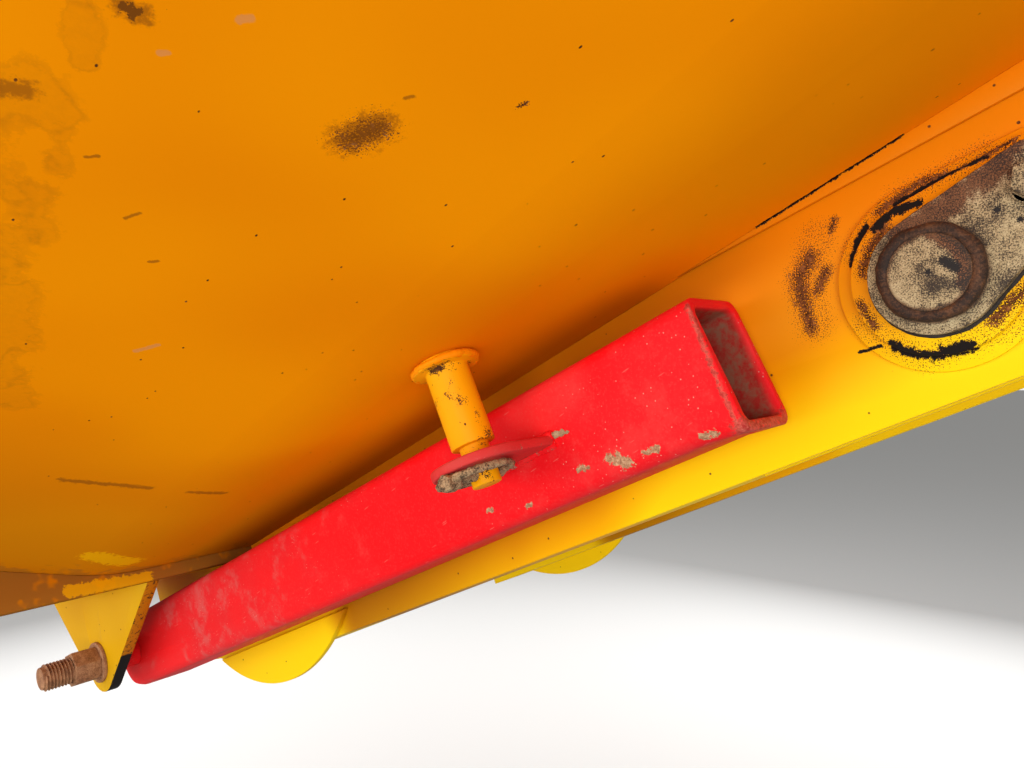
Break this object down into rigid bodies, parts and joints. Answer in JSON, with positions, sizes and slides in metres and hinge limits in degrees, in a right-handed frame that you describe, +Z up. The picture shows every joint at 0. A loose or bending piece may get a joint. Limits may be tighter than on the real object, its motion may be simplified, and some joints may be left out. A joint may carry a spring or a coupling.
{
  "type": "dumper tipping skip with safety prop",
  "caption": "Steel tipping skip of a site dumper on hinge arms, with welded hinge pins and a red rectangular safety prop stowed under its right side.",
  "frame": {"origin": "middle of the tip axis, which runs through both hinge pins", "axes": "+X forward to the lip, +Y to the machine's left, +Z up, skip down"},
  "size_m": [2.4625, 2.052, 1.2815],
  "materials": {
    "orange_paint": "satin, with rust specks",
    "yellow_paint": "satin, chipped",
    "red_paint": "satin, scuffed",
    "worn_steel": "greasy and rusty",
    "rusty_steel": "rusty"
  },
  "bodies": {
    "skip": {"floor_plate": "orange_paint", "flank_right": "orange_paint", "flank_left": "orange_paint", "rear_shell": "orange_paint", "rear_wall": "orange_paint", "side_wall_right": "orange_paint", "side_wall_left": "orange_paint", "rim": "orange_paint", "lip_bar": "orange_paint", "front_bearer": "orange_paint", "rib_front_right": "orange_paint", "rib_front_left": "orange_paint", "rib_rear_right": "orange_paint", "rib_rear_left": "orange_paint", "rear_rib_right": "orange_paint", "rear_rib_left": "orange_paint", "rear_strip_right": "orange_paint", "rear_strip_left": "orange_paint", "arm_web_outer_right": "yellow_paint", "arm_web_inner_right": "yellow_paint", "arm_soffit_right": "yellow_paint", "arm_diaphragm_right": "yellow_paint", "rest_lobe_right": "yellow_paint", "arm_strap_right": "yellow_paint", "arm_web_outer_left": "yellow_paint", "arm_web_inner_left": "yellow_paint", "arm_soffit_left": "yellow_paint", "arm_diaphragm_left": "yellow_paint", "rest_lobe_left": "yellow_paint", "arm_strap_left": "yellow_paint", "cross_tube": "yellow_paint", "pin_boss_right": "yellow_paint", "pin_flag_right": "worn_steel", "hinge_pin_right": "worn_steel", "keeper_bolt_right": "worn_steel", "pin_boss_left": "yellow_paint", "pin_flag_left": "worn_steel", "hinge_pin_left": "worn_steel", "keeper_bolt_left": "worn_steel", "prop_stud": "yellow_paint", "linch_pin": "rusty_steel", "prop_ear": "yellow_paint", "spacer_inner": "yellow_paint", "spacer_outer": "red_paint", "pivot_washer": "rusty_steel", "pivot_nut": "rusty_steel", "pivot_bolt": "rusty_steel", "ram_pad": "orange_paint", "ram_lug_right": "orange_paint", "ram_lug_left": "orange_paint", "lifting_eye_front_right": "orange_paint", "lifting_eye_front_left": "orange_paint", "lifting_eye_rear_right": "orange_paint", "lifting_eye_rear_left": "orange_paint"},
    "prop": {"prop_tube": "red_paint", "prop_tongue": "red_paint"}
  },
  "joints": [
    {"name": "prop_swing", "type": "hinge", "parent": "skip", "child": "prop", "pos_m": [-1.02775, -0.383, -0.47925], "axis": [0, 1, 0], "range_deg": [0, 115]}
  ]
}
